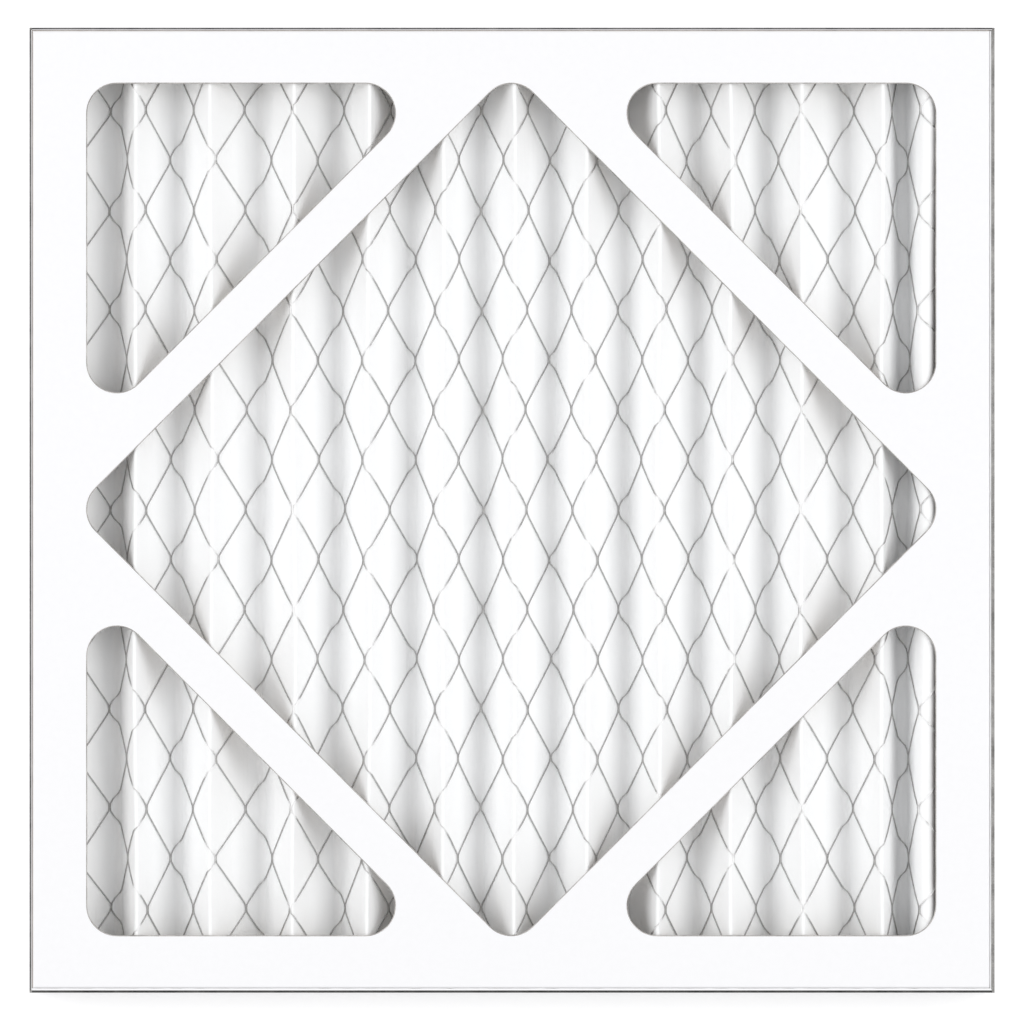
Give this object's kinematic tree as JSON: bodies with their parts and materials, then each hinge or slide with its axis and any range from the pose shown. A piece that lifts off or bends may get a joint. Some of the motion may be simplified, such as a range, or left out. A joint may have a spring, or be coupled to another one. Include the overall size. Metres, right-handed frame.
{
  "type": "pleated panel air filter",
  "caption": "Disposable pleated panel air filter: pleated medium with an expanded-metal support in a die-cut folded board frame with a diamond window.",
  "frame": {"origin": "centre of the underside, on the surface that the filter lies on", "axes": "+X across the pleats, +Y along them, +Z out of the face that the air leaves by"},
  "size_m": [0.2986, 0.2986, 0.0222],
  "materials": {
    "white_board": "clay-coated, satin",
    "filter_medium": "matt non-woven fibre",
    "galvanised_strand": "galvanised, dull",
    "adhesive": "set hot melt, slightly glossy"
  },
  "bodies": {
    "root": {"front_tray": "white_board", "back_tray": "white_board", "media_pack": "filter_medium", "support_grid": "galvanised_strand", "end_seal_top": "adhesive", "end_seal_bottom": "adhesive", "side_seal_left": "adhesive", "side_seal_right": "adhesive"}
  },
  "joints": []
}
